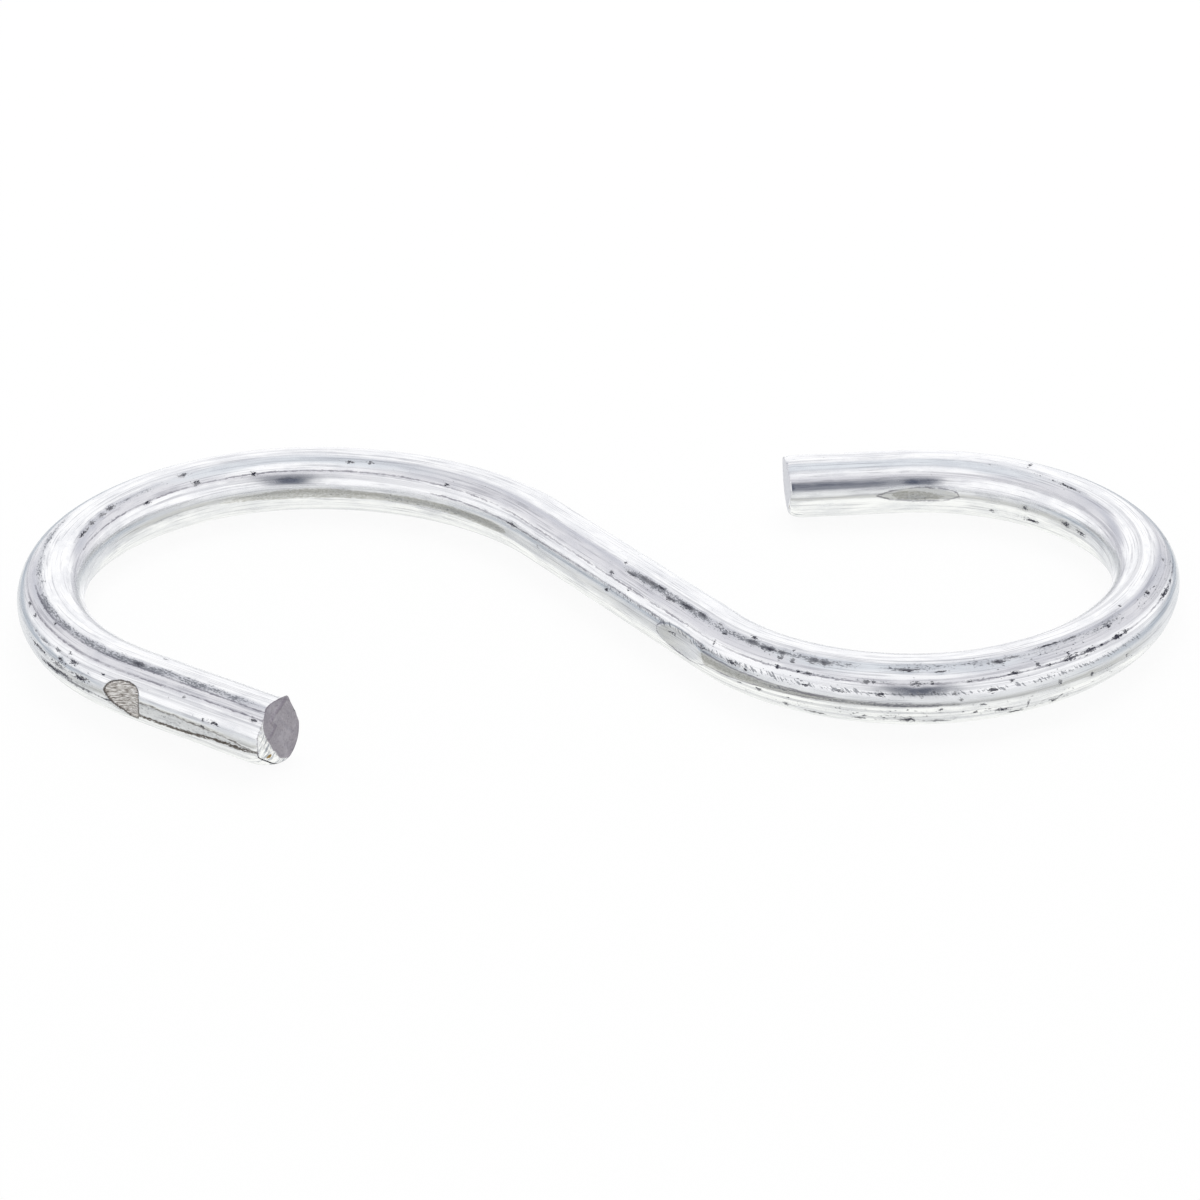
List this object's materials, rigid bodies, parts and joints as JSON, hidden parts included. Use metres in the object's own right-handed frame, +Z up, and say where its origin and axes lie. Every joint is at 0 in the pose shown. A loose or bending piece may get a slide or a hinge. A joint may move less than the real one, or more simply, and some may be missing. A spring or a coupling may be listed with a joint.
{
  "type": "strap hook",
  "caption": "S-shaped strap hook bent from one length of round zinc plated steel wire, with one wide and one tight open eye.",
  "frame": {"origin": "on the surface the hook lies on, under the middle of its outline", "axes": "+Z up, out of the plane of the hook; +X along its length, from the wide eye towards the tight eye; +Y away from the wide eye's tail"},
  "size_m": [0.0698, 0.0376, 0.0042],
  "materials": {
    "zinc_wire": "bright zinc plating with drawing lines, scratches and small dark pits; bare grey steel at the sheared ends"
  },
  "bodies": {
    "root": {"strap_hook": "zinc_wire"}
  },
  "joints": []
}
